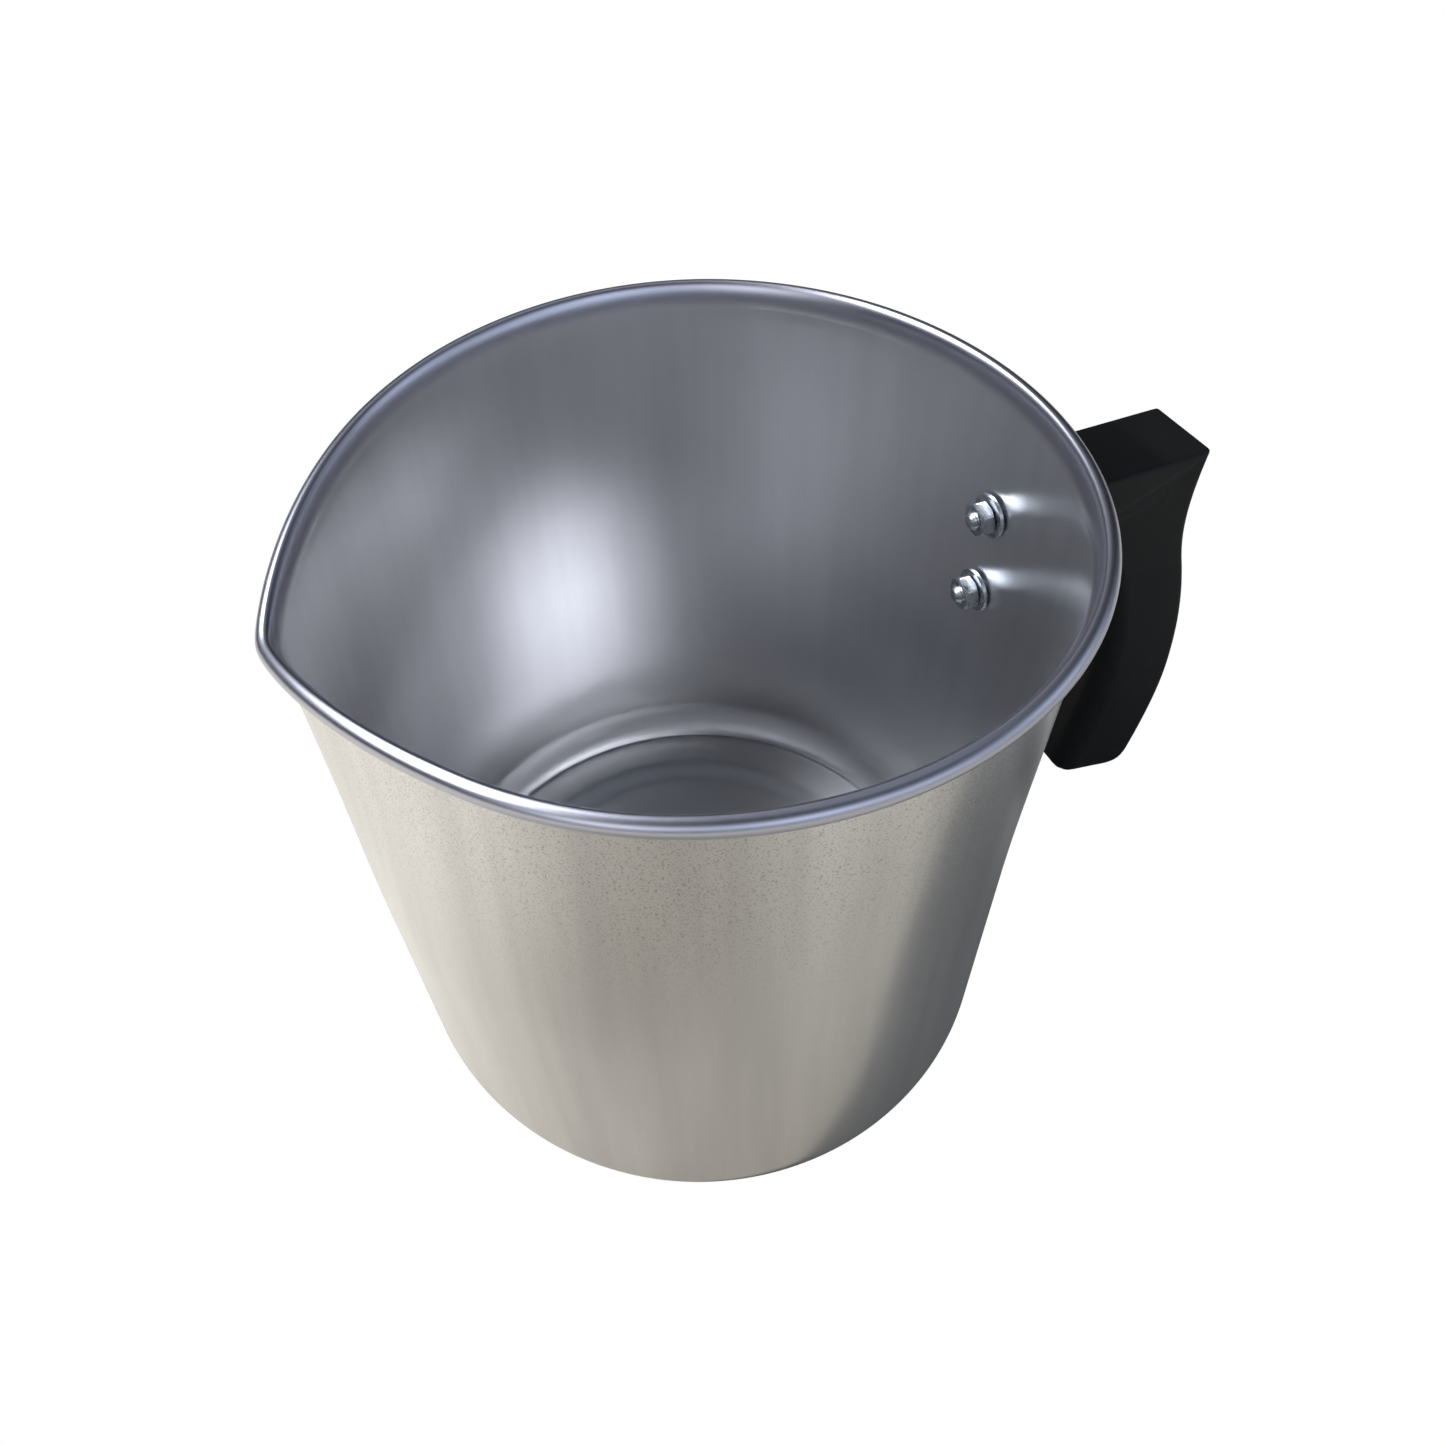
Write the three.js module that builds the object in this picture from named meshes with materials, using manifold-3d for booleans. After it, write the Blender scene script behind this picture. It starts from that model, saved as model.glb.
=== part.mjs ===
// Candle melting pot: a drawn aluminium pot with a pinched pouring beak and a
// curled rim, and a moulded phenolic handle held by two studs with nuts inside.
//
// Millimetres, +Z up. The origin is on the pot's axis in the plane it stands on,
// the handle points along +X and the pouring beak along -X.

import * as THREE from 'three';
import { mergeVertices } from 'three/addons/utils/BufferGeometryUtils.js';
import Module from 'manifold-3d';

const wasm = await Module();
wasm.setup();

// ---------------------------------------------------------------- dimensions

const FIT_GAP = 0.3; // clearance left between pieces that touch
const SEAT_GAP = 0.5; // the same for a flat washer across the curved wall

// pot body
const SHEET = 1.0; // aluminium thickness
const RIM_HEIGHT = 144; // centre of the curled bead above the table
const BASE_RADIUS = 70.2; // outer radius of the wall cone at table height
const RIM_RADIUS = 75.7; // outer radius of the wall cone at rim height
const CORNER_RADIUS = 16; // outer rounding between wall and base
const CORNER_CENTRE_Z = 11.6;

// floor
const FOOT_OUTER = 65.3; // flat ring the pot stands on
const FOOT_INNER = 64.3;
const FLOOR_RING_TOP = 3.5; // inside height of the raised ring next to the foot
const FLOOR_RING_OUTER = 62.4;
const FLOOR_STEP_OUTER = 54; // the floor sinks gently between these radii
const FLOOR_STEP_INNER = 46;
const FLOOR_CENTRE_TOP = 2.2; // inside height of the middle of the floor

// curled rim bead, rolled outwards from the wall
const BEAD_RADIUS = 2.05;
const BEAD_END_ANGLE = -2.62; // where the rolled sheet stops, short of the wall

// plan shape of the bead's centre line, as offsets from a circle (angle 0 at the beak)
const RIM_PLAN_RADIUS = 75;
const BEAK_REACH = 7.4;
const BEAK_HALF_ANGLE = 0.773;
const BEAK_TIP_ROUNDING = 0.04;
const PINCH = [-4.35, -1.5, 0.5]; // first three cosine terms
const BEAK_DIP = -5.25; // the beak's tip sits lower than the rest of the rim
const RIM_TILT = -1.05;
const RIM_BOW = -0.9;
const PINCH_DEPTH = 78; // how far down the wall the pinching fades out
const ANGLE_STEPS = 72;
const BEAK_CROWDING = 0.5; // packs more facets around the beak

// handle
const HANDLE_TOP = 123.7;
const HANDLE_HALF_WIDTH = 8.2; // at HANDLE_WIDTH_AT, widening outwards
const HANDLE_WIDTH_AT = 97;
const HANDLE_FLARE = 0.04;
const HANDLE_EDGE_ROUNDING = 1.2;
const FINGER_ROUNDING = 5; // on the side the fingers wrap around
const HANDLE_STOCK = 12; // spare material trimmed off by the crisp outline

// fixings, M4
const FIXING_HEIGHTS = { upper: 115.2, lower: 94.2 };
const STUD_RADIUS = 2;
const STUD_TIP_CHAMFER = 0.7;
const STUD_TIP_LENGTH = 1.3; // thread showing beyond the nut
const STUD_HEAD_RADIUS = 3.4; // moulded-in head inside the handle
const STUD_HEAD_LENGTH = 2.4;
const STUD_HEAD_OUTER_X = 83;
const NUT_ACROSS_FLATS = 7;
const NUT_LENGTH = 3;
const NUT_BORE_RADIUS = 2.3;
const NUT_CORNER_CHAMFER = 0.4;
const WASHER = { inner: 2.3, outer: 5, length: 0.9 };
const ROUND_STEPS = 32;

// ------------------------------------------------------------- small helpers

function arcPoints(centreX, centreY, radius, startAngle, endAngle, steps) {
  const points = [];
  for (let i = 0; i <= steps; i += 1) {
    const angle = startAngle + ((endAngle - startAngle) * i) / steps;
    const x = centreX + radius * Math.cos(angle);
    const y = centreY + radius * Math.sin(angle);
    points.push(new THREE.Vector2(x, y));
  }
  return points;
}

function smoothStep(t) {
  const clamped = Math.min(Math.max(t, 0), 1);
  return clamped * clamped * (3 - 2 * clamped);
}

// A plain solid in, a closed manifold out.
function solid(geometry) {
  const bare = geometry.clone();
  bare.deleteAttribute('normal');
  bare.deleteAttribute('uv');
  const welded = mergeVertices(bare, 1e-4);
  const mesh = new wasm.Mesh({
    numProp: 3,
    vertProperties: new Float32Array(welded.attributes.position.array),
    triVerts: new Uint32Array(welded.index.array),
  });
  mesh.merge();
  return new wasm.Manifold(mesh);
}

function geometryOf(manifold) {
  const mesh = manifold.getMesh();
  const geometry = new THREE.BufferGeometry();
  const positions = new THREE.BufferAttribute(new Float32Array(mesh.vertProperties), 3);
  geometry.setAttribute('position', positions);
  geometry.setIndex(new THREE.BufferAttribute(new Uint32Array(mesh.triVerts), 1));
  geometry.computeVertexNormals();
  return geometry;
}

// A turned solid whose axis lies along X; profile points are (radius, x).
function turnedAlongX(profile) {
  const geometry = new THREE.LatheGeometry(profile, ROUND_STEPS);
  geometry.rotateZ(-Math.PI / 2);
  return geometry;
}

function pieceMesh(name, geometry, finish) {
  const mesh = new THREE.Mesh(geometry, new THREE.MeshStandardMaterial(finish));
  mesh.name = name;
  return mesh;
}

// --------------------------------------------------------------------- shell

function coneRadius(z) {
  return BASE_RADIUS + ((RIM_RADIUS - BASE_RADIUS) * z) / RIM_HEIGHT;
}

const WALL_SLOPE = Math.atan((RIM_RADIUS - BASE_RADIUS) / RIM_HEIGHT);
const BEAD_CENTRE_RADIUS = RIM_RADIUS - SHEET + BEAD_RADIUS;
const CORNER_TANGENT_Z = CORNER_CENTRE_Z - CORNER_RADIUS * Math.sin(WALL_SLOPE);
const CORNER_CENTRE_RADIUS = coneRadius(CORNER_TANGENT_Z) - CORNER_RADIUS * Math.cos(WALL_SLOPE);

function beak(phi) {
  const softened = Math.hypot(phi, BEAK_TIP_ROUNDING);
  return Math.max(1 - softened / BEAK_HALF_ANGLE, 0) ** 2;
}

function rimShift(phi) {
  const pinch = PINCH.reduce((sum, term, i) => sum + term * Math.cos((i + 1) * phi), 0);
  return RIM_PLAN_RADIUS - BEAD_CENTRE_RADIUS + pinch + BEAK_REACH * beak(phi);
}

function rimLift(phi) {
  return BEAK_DIP * beak(phi) + RIM_TILT * Math.cos(phi) + RIM_BOW * Math.cos(2 * phi);
}

// How much of the rim's pinching is left at a height: all at the rim, then none.
function pinchShare(z) {
  return 1 - smoothStep((RIM_HEIGHT - z) / PINCH_DEPTH);
}

// Outer radius of the wall on the handle's side.
function handleSideRadius(z) {
  return coneRadius(z) + rimShift(Math.PI) * pinchShare(z);
}

// The gentle step in the floor, seen in section, from the ring to the middle.
function floorStep(drop) {
  const points = [];
  const steps = 4;
  for (let i = 0; i <= steps; i += 1) {
    const t = i / steps;
    const r = FLOOR_STEP_OUTER + (FLOOR_STEP_INNER - FLOOR_STEP_OUTER) * t;
    const fall = (FLOOR_RING_TOP - FLOOR_CENTRE_TOP) * smoothStep(t);
    points.push(new THREE.Vector2(r, FLOOR_RING_TOP - fall - drop));
  }
  return points;
}

function wallPoints(offset, lowZ, highZ, steps) {
  const points = [];
  for (let i = 1; i <= steps; i += 1) {
    const z = lowZ + ((highZ - lowZ) * i) / steps;
    points.push(new THREE.Vector2(coneRadius(z) - offset, z));
  }
  return points;
}

// Section through sheet metal: up the outside, round the bead, down the inside.
function shellProfile() {
  const cornerStop = -Math.acos((FOOT_OUTER - CORNER_CENTRE_RADIUS) / CORNER_RADIUS);
  const innerRadius = CORNER_RADIUS - SHEET;
  const beadX = BEAD_CENTRE_RADIUS;
  const beadMeetsWall = RIM_HEIGHT - BEAD_RADIUS - 1.2;
  const underside = floorStep(SHEET).reverse();
  return [
    new THREE.Vector2(0, FLOOR_CENTRE_TOP - SHEET),
    ...underside,
    new THREE.Vector2(FLOOR_RING_OUTER - 0.6, FLOOR_RING_TOP - SHEET),
    new THREE.Vector2(FOOT_INNER - 0.6, 0.5),
    new THREE.Vector2(FOOT_INNER, 0),
    new THREE.Vector2(FOOT_OUTER, 0),
    ...arcPoints(
      CORNER_CENTRE_RADIUS, CORNER_CENTRE_Z, CORNER_RADIUS, cornerStop + 0.03, -WALL_SLOPE, 6),
    ...wallPoints(0, CORNER_TANGENT_Z, beadMeetsWall, 8),
    new THREE.Vector2(RIM_RADIUS, RIM_HEIGHT),
    ...arcPoints(beadX, RIM_HEIGHT, BEAD_RADIUS - SHEET, Math.PI, BEAD_END_ANGLE, 8).slice(1),
    ...arcPoints(beadX, RIM_HEIGHT, BEAD_RADIUS, BEAD_END_ANGLE, Math.PI, 14).slice(0, -1),
    ...wallPoints(SHEET, CORNER_TANGENT_Z, RIM_HEIGHT, 9).reverse(),
    ...arcPoints(
      CORNER_CENTRE_RADIUS, CORNER_CENTRE_Z, innerRadius, -WALL_SLOPE, cornerStop + 0.05, 6),
    new THREE.Vector2(FOOT_INNER + 0.3, SHEET),
    new THREE.Vector2(FOOT_INNER - 0.3, SHEET + 0.5),
    new THREE.Vector2(FLOOR_RING_OUTER + 0.6, FLOOR_RING_TOP - 0.4),
    new THREE.Vector2(FLOOR_RING_OUTER, FLOOR_RING_TOP),
    ...floorStep(0),
    new THREE.Vector2(0, FLOOR_CENTRE_TOP),
  ];
}

// Moves the turned vertices so the rim follows its pinched plan shape.
function pinchRim(geometry) {
  const position = geometry.attributes.position;
  for (let i = 0; i < position.count; i += 1) {
    const x = position.getX(i);
    const y = position.getY(i);
    const z = position.getZ(i);
    const radius = Math.hypot(x, y);
    const even = Math.atan2(-y, -x);
    const phi = even - BEAK_CROWDING * Math.sin(even);
    const share = pinchShare(z);
    const pushed = radius + rimShift(phi) * share;
    const newZ = z + rimLift(phi) * share;
    position.setXYZ(i, -pushed * Math.cos(phi), -pushed * Math.sin(phi), newZ);
  }
}

function fixingHoles(radius) {
  const reach = 20;
  return Object.values(FIXING_HEIGHTS).map((z) => {
    const drill = new THREE.CylinderGeometry(radius, radius, reach, ROUND_STEPS);
    drill.rotateZ(Math.PI / 2);
    drill.translate(RIM_RADIUS, 0, z);
    return solid(drill);
  });
}

function potShellGeometry() {
  const geometry = new THREE.LatheGeometry(shellProfile(), ANGLE_STEPS);
  geometry.rotateX(Math.PI / 2);
  pinchRim(geometry);
  let shell = solid(geometry);
  for (const hole of fixingHoles(STUD_RADIUS + FIT_GAP)) {
    shell = shell.subtract(hole);
  }
  return geometryOf(shell);
}

// -------------------------------------------------------------------- handle

const PAD_FOOT = { x: 76, y: 81.5 }; // lower end of the pad against the pot
const PAD_FACE = { x: 85.8, y: 96 }; // where the pad's face turns into the arch
const ARCH_TOP = { x: 92, y: 104 };
const GRIP_INSIDE = { x: 106.6, y: 56 }; // finger side of the grip at its middle
const GRIP_END_INSIDE = { x: 101.6, y: 23.4 };
const GRIP_END_OUTSIDE = { x: 115.4, y: 21.2 };
const GRIP_OUTSIDE = { x: 126, y: 55.5 };
const WAIST = { x: 121, y: 91.5 };
const TOP_OUTSIDE = { x: 119.4, y: HANDLE_TOP };
const INSIDE_POT = 50; // anywhere well inside the pot, trimmed off later

// From the end of the grip up the finger side, over the arch, to the pad's face.
function traceFingerSide(shape) {
  shape.bezierCurveTo(104.2, 38, 106.6, 46, GRIP_INSIDE.x, GRIP_INSIDE.y);
  shape.bezierCurveTo(106.6, 71, 104.8, 84, 99.6, 95.5);
  shape.bezierCurveTo(97, 101, 95.5, 104, ARCH_TOP.x, ARCH_TOP.y);
  shape.bezierCurveTo(88, 104, 86.2, 100.5, PAD_FACE.x, PAD_FACE.y);
}

// Side view of the handle, x outwards from the pot's axis and y up.
function handleOutline() {
  const shape = new THREE.Shape();
  shape.moveTo(GRIP_END_INSIDE.x, GRIP_END_INSIDE.y);
  traceFingerSide(shape);
  shape.bezierCurveTo(85.4, 88, 84, 82, PAD_FOOT.x, PAD_FOOT.y);
  shape.lineTo(INSIDE_POT, PAD_FOOT.y - 1);
  shape.lineTo(INSIDE_POT, HANDLE_TOP);
  shape.lineTo(TOP_OUTSIDE.x, TOP_OUTSIDE.y);
  shape.bezierCurveTo(117.6, 110, 118, 101.5, WAIST.x, WAIST.y);
  shape.bezierCurveTo(124, 81, 126, 70, GRIP_OUTSIDE.x, GRIP_OUTSIDE.y);
  shape.bezierCurveTo(126, 46, 123.8, 34.5, 121.6, 25.4);
  shape.bezierCurveTo(120.8, 22.6, 119.4, 20.6, GRIP_END_OUTSIDE.x, GRIP_END_OUTSIDE.y);
  return shape;
}

// Shares only the finger side with the outline above and is oversize elsewhere.
function fingerStockOutline() {
  const low = GRIP_END_INSIDE.y - HANDLE_STOCK;
  const far = GRIP_OUTSIDE.x + HANDLE_STOCK;
  const high = HANDLE_TOP + HANDLE_STOCK;
  const shape = new THREE.Shape();
  shape.moveTo(GRIP_END_INSIDE.x - 1.5, low);
  shape.lineTo(GRIP_END_INSIDE.x, GRIP_END_INSIDE.y);
  traceFingerSide(shape);
  shape.lineTo(PAD_FACE.x - 1, PAD_FOOT.y - HANDLE_STOCK);
  shape.lineTo(INSIDE_POT, PAD_FOOT.y - HANDLE_STOCK);
  shape.lineTo(INSIDE_POT, high);
  shape.lineTo(far, high);
  shape.lineTo(far, low);
  return shape;
}

// Extrudes a side view across the handle with rounded edges, then flares it.
function handleBlock(shape, halfWidth, rounding, curveSegments, bevelSegments) {
  const geometry = new THREE.ExtrudeGeometry(shape, {
    depth: 2 * (halfWidth - rounding),
    bevelEnabled: true,
    bevelThickness: rounding,
    bevelSize: rounding,
    bevelOffset: -rounding,
    bevelSegments,
    curveSegments,
  });
  geometry.translate(0, 0, rounding - halfWidth);
  geometry.rotateX(Math.PI / 2);
  const position = geometry.attributes.position;
  for (let i = 0; i < position.count; i += 1) {
    const widen = 1 + (HANDLE_FLARE * (position.getX(i) - HANDLE_WIDTH_AT)) / halfWidth;
    position.setY(i, position.getY(i) * widen);
  }
  return solid(geometry);
}

// A plain plug the size of the pot's outside, used to fit the handle against it.
function potPlug() {
  const levels = 12;
  const profile = [new THREE.Vector2(0, 0)];
  for (let i = 0; i <= levels; i += 1) {
    const z = (RIM_HEIGHT * i) / levels;
    profile.push(new THREE.Vector2(handleSideRadius(z) + FIT_GAP, z));
  }
  profile.push(new THREE.Vector2(0, RIM_HEIGHT));
  const geometry = new THREE.LatheGeometry(profile, 4 * ROUND_STEPS);
  geometry.rotateX(Math.PI / 2);
  return solid(geometry);
}

function handleGeometry() {
  const crisp = handleBlock(handleOutline(), HANDLE_HALF_WIDTH, HANDLE_EDGE_ROUNDING, 7, 2);
  const rounded = handleBlock(fingerStockOutline(), HANDLE_HALF_WIDTH, FINGER_ROUNDING, 7, 5);
  let handle = crisp.intersect(rounded).subtract(potPlug());
  for (const z of Object.values(FIXING_HEIGHTS)) {
    handle = handle.subtract(solid(studGeometry(z, FIT_GAP)));
  }
  return geometryOf(handle);
}

// ------------------------------------------------------------------- fixings

// Where the washer and the nut on a stud begin, measured along X from the pot's axis.
function stackStarts(z) {
  const washer = handleSideRadius(z) - SHEET - SEAT_GAP - WASHER.length;
  const nut = washer - FIT_GAP - NUT_LENGTH;
  return { washer, nut };
}

// Headed stud; the grown version is the pocket it leaves in the handle.
function studGeometry(z, growth) {
  const tipX = stackStarts(z).nut - STUD_TIP_LENGTH;
  const headInnerX = STUD_HEAD_OUTER_X - STUD_HEAD_LENGTH - growth;
  const headOuterX = STUD_HEAD_OUTER_X + growth;
  const geometry = turnedAlongX([
    new THREE.Vector2(0, tipX),
    new THREE.Vector2(STUD_RADIUS - STUD_TIP_CHAMFER + growth, tipX),
    new THREE.Vector2(STUD_RADIUS + growth, tipX + STUD_TIP_CHAMFER),
    new THREE.Vector2(STUD_RADIUS + growth, headInnerX),
    new THREE.Vector2(STUD_HEAD_RADIUS + growth, headInnerX),
    new THREE.Vector2(STUD_HEAD_RADIUS + growth, headOuterX),
    new THREE.Vector2(0, headOuterX),
  ]);
  geometry.translate(0, 0, z);
  return geometry;
}

function nutGeometry(z) {
  const cornerRadius = NUT_ACROSS_FLATS / Math.sqrt(3);
  const hexagon = new THREE.CylinderGeometry(cornerRadius, cornerRadius, NUT_LENGTH, 6);
  const turned = turnedAlongX([
    new THREE.Vector2(NUT_BORE_RADIUS, -NUT_LENGTH / 2),
    new THREE.Vector2(cornerRadius - 2 * NUT_CORNER_CHAMFER, -NUT_LENGTH / 2),
    new THREE.Vector2(cornerRadius + 0.05, -NUT_LENGTH / 2 + NUT_CORNER_CHAMFER),
    new THREE.Vector2(cornerRadius + 0.05, NUT_LENGTH / 2),
    new THREE.Vector2(NUT_BORE_RADIUS, NUT_LENGTH / 2),
    new THREE.Vector2(NUT_BORE_RADIUS, -NUT_LENGTH / 2),
  ]);
  hexagon.rotateZ(-Math.PI / 2);
  const geometry = geometryOf(solid(turned).intersect(solid(hexagon)));
  geometry.translate(stackStarts(z).nut + NUT_LENGTH / 2, 0, z);
  return geometry;
}

function washerGeometry(z) {
  const geometry = turnedAlongX([
    new THREE.Vector2(WASHER.inner, 0),
    new THREE.Vector2(WASHER.outer, 0),
    new THREE.Vector2(WASHER.outer, WASHER.length),
    new THREE.Vector2(WASHER.inner, WASHER.length),
    new THREE.Vector2(WASHER.inner, 0),
  ]);
  geometry.translate(stackStarts(z).washer, 0, z);
  return geometry;
}

// ------------------------------------------------------------------ assembly

const ALUMINIUM = { color: '#b4b4b6', roughness: 0.38, metalness: 1 };
const PHENOLIC = { color: '#17161a', roughness: 0.5, metalness: 0 };
const ZINC = { color: '#c8ccd2', roughness: 0.3, metalness: 1 };

function fixingSet(level, z) {
  const set = new THREE.Group();
  set.name = `fixing_${level}`;
  set.add(pieceMesh(`stud_${level}`, studGeometry(z, 0), ZINC));
  set.add(pieceMesh(`nut_${level}`, nutGeometry(z), ZINC));
  set.add(pieceMesh(`flat_washer_${level}`, washerGeometry(z), ZINC));
  return set;
}

const pot = new THREE.Group();
pot.name = 'candle_melting_pot';
pot.add(pieceMesh('pot_shell', potShellGeometry(), ALUMINIUM));
pot.add(pieceMesh('handle', handleGeometry(), PHENOLIC));
for (const [level, z] of Object.entries(FIXING_HEIGHTS)) {
  pot.add(fixingSet(level, z));
}

export default pot;
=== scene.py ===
"""Candle melting pot: a drawn aluminium pot with a pinched beak and a rolled rim, and a black
moulded handle.

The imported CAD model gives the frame. Each piece is rebuilt here as a fine smooth mesh, in
millimetres scaled to metres, around the same axis: the handle points along +X and the pouring
beak along -X.
"""
import math
from contextlib import contextmanager

import bmesh
import bpy
from mathutils import Matrix, Vector, noise


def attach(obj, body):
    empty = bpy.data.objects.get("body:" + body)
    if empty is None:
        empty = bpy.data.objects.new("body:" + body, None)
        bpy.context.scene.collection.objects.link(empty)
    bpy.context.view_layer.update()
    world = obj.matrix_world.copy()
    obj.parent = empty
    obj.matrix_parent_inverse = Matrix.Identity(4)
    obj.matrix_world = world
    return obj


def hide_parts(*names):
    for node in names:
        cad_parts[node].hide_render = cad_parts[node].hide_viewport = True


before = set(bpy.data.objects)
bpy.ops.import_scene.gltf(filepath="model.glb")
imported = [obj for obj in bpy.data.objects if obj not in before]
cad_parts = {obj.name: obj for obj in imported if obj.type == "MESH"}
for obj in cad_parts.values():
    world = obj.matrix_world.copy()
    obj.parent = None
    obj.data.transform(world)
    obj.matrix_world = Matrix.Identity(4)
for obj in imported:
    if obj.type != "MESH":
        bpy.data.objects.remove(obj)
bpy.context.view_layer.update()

MM = 0.001
TURN = 2 * math.pi

# ---------------------------------------------------------------- pot dimensions, mm and radians

SHEET = 1.0
RIM_HEIGHT = 144.0
BASE_RADIUS = 70.2
RIM_RADIUS = 75.7
CORNER_RADIUS = 16.0
CORNER_CENTRE_Z = 11.6
CORNER_TRIM_OUTSIDE = 0.03
CORNER_TRIM_INSIDE = 0.05

FOOT_OUTER = 65.3
FOOT_INNER = 64.3
FLOOR_RING_TOP = 3.5
FLOOR_RING_OUTER = 62.4
FLOOR_STEP_OUTER = 54.0
FLOOR_STEP_INNER = 46.0
FLOOR_HUB_RADIUS = 30.0
FLOOR_CENTRE_TOP = 2.2

# Small roundings in the section, as (r, z) offsets from the corners that they soften.
RECESS_ROUNDING = ((-0.9, 0.0), (-0.5, -0.15))
FOOT_ROUNDING = ((-0.8, 0.5), (-0.4, 0.12), (0.0, 0.0))
VALLEY_ROUNDING = ((0.35, 0.04), (-0.3, 0.5))
FLOOR_RING_ROUNDING = ((0.6, -0.4), (0.25, -0.1), (-0.2, 0.0))

BEAD_RADIUS = 2.05
BEAD_MARGIN = 0.02
BEAD_END_ANGLE = -2.62
BEAD_MEETS_WALL = 1.2
BEAD_WAVER = 0.03
BEAD_WAVER_SCALE = 3
LEAD_IN_DEPTH = 5.8
LEAD_IN_GAP = 1.0

RIM_PLAN_RADIUS = 75.0
BEAK_REACH = 7.4
BEAK_HALF_ANGLE = 0.773
BEAK_TIP_ROUNDING = 0.04
BEAK_DIP = -5.25
# Crowds the mesh's upright lines towards the beak.
BEAK_CROWDING = 0.5
# Cosine terms of the rim's plan shape, at one, two and three times the angle from the beak.
PINCH = (-4.35, -1.5, 0.5)
PINCH_DEPTH = 78.0
RIM_TILT = -1.05
RIM_BOW = -0.9

SHELL_STEPS = 480
WALL_STEPS = 64
CORNER_STEPS = 36
FLOOR_STEP_STEPS = 12
BEAD_INSIDE_STEPS = 32
BEAD_OUTSIDE_STEPS = 56
LEAD_IN_STEPS = 32

# ---------------------------------------------------------------- handle dimensions, mm

HANDLE_TOP = 123.7
# The half width is measured at x = HANDLE_WIDTH_AT and grows by the flare for each mm outwards.
HANDLE_HALF_WIDTH = 8.2
HANDLE_WIDTH_AT = 97.0
HANDLE_FLARE = 0.04
HANDLE_EDGE_ROUNDING = 0.9
HANDLE_EDGE_STEPS = 6
FINGER_ROUNDING = 5.0
FINGER_ROUNDING_STEPS = 20
END_CORNER_ROUNDING = 1.4
TOP_CORNER_ROUNDING = 0.7
CORNER_FULLNESS = 0.45
CORNER_CURVE_STEPS = 8
HANDLE_CURVE_STEPS = 18
# How far the block that rounds the finger side stands clear of the handle's other sides.
HANDLE_STOCK = 12.0
HANDLE_STOCK_OVERLAPS = {"grip": 1.5, "pad": 1}
HANDLE_MARGIN = 0.03
HANDLE_VOXEL = 0.3
HANDLE_RELAXING = {"factor": 0.5, "iterations": 4}
PLUG_LEVELS = 48
PLUG_STEPS = 360

# Side view: x outwards from the pot's axis, then z.
PAD_FOOT = (76.0, 81.5)
PAD_FACE = (85.8, 96.0)
ARCH_START = (99.6, 95.5)
ARCH_TOP = (92.0, 104.0)
GRIP_INSIDE = (106.6, 56.0)
GRIP_END_INSIDE = (101.6, 23.4)
GRIP_END_OUTSIDE = (115.4, 21.2)
GRIP_HEEL = (121.6, 25.4)
GRIP_OUTSIDE = (126.0, 55.5)
WAIST = (121.0, 91.5)
TOP_OUTSIDE = (119.4, HANDLE_TOP)
INSIDE_POT = 50.0
PAD_UNDERCUT = 1
TOWARDS_GRIP = (104.2, 38.0)
TOWARDS_WAIST = (117.6, 110.0)

# Cubic curves joined end to end, each as its two control points and its end.
FINGER_CURVES = (
    (TOWARDS_GRIP, (106.6, 46.0), GRIP_INSIDE),
    ((106.6, 71.0), (104.8, 84.0), ARCH_START),
    ((97.0, 101.0), (95.5, 104.0), ARCH_TOP),
    ((88.0, 104.0), (86.2, 100.5), PAD_FACE),
)
PAD_CURVES = (((85.4, 88.0), (84.0, 82.0), PAD_FOOT),)
BACK_CURVES = (
    (TOWARDS_WAIST, (118.0, 101.5), WAIST),
    ((124.0, 81.0), (126.0, 70.0), GRIP_OUTSIDE),
    ((126.0, 46.0), (123.8, 34.5), GRIP_HEEL),
    ((120.8, 22.6), (119.4, 20.6), GRIP_END_OUTSIDE),
)

# ---------------------------------------------------------------- fixing dimensions, mm

FIT_GAP = 0.3
SEAT_GAP = 0.5
FIXING_HEIGHTS = {"upper": 115.2, "lower": 94.2}
DRILL_SPAN = (60.0, 90.0)
POCKET_SPAN = (60.0, 82.0)
ROUND_STEPS = 96

STUD_RADIUS = 2.0
STUD_TIP_LENGTH = 1.3
STUD_TIP_CHAMFER = 0.7
STUD_TIP_EDGE = {"radius": 0.1, "length": 0.03}
STUD_HEAD_RADIUS = 3.4
STUD_HEAD_LENGTH = 2.4
STUD_HEAD_OUTER_X = 83.0
THREAD_PITCH = 0.7
THREAD_DEPTH = 0.3
THREAD_LENGTH = 7.0
THREAD_RUN_IN = 0.5
THREAD_RUN_OUT = 1.0
THREAD_STEPS = 180

NUT_TURNS = {"upper": 50.0, "lower": 47.0}
NUT_ACROSS_FLATS = 7.0
NUT_LENGTH = 3.0
NUT_BORE_RADIUS = 2.3
NUT_BORE_FLARE = 0.1
NUT_COUNTERSINK = 0.35
NUT_FACE_RADIUS = 3.3
NUT_CHAMFER_SLOPE = 0.577
NUT_CORNER_WEAR = 0.12
NUT_EDGE_WIDTH = 0.12
NUT_EDGE_SEGMENTS = 2
NUT_EDGE_DEGREES = 25
NUT_STEPS = 144

WASHER = {"inner": 2.3, "outer": 5.0, "length": 0.9}
WASHER_EDGE = 0.18

# Edges steeper than this many degrees stay crisp.
CRISP = {"pot": 40, "stud": 50, "nut": 30, "washer": 35}

# ---------------------------------------------------------------- mesh helpers


def add_object(name, data):
    item = bpy.data.objects.new(name, data)
    bpy.context.scene.collection.objects.link(item)
    return item


@contextmanager
def editing(mesh):
    work = bmesh.new()
    work.from_mesh(mesh)
    yield work
    work.to_mesh(mesh)
    work.free()


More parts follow.
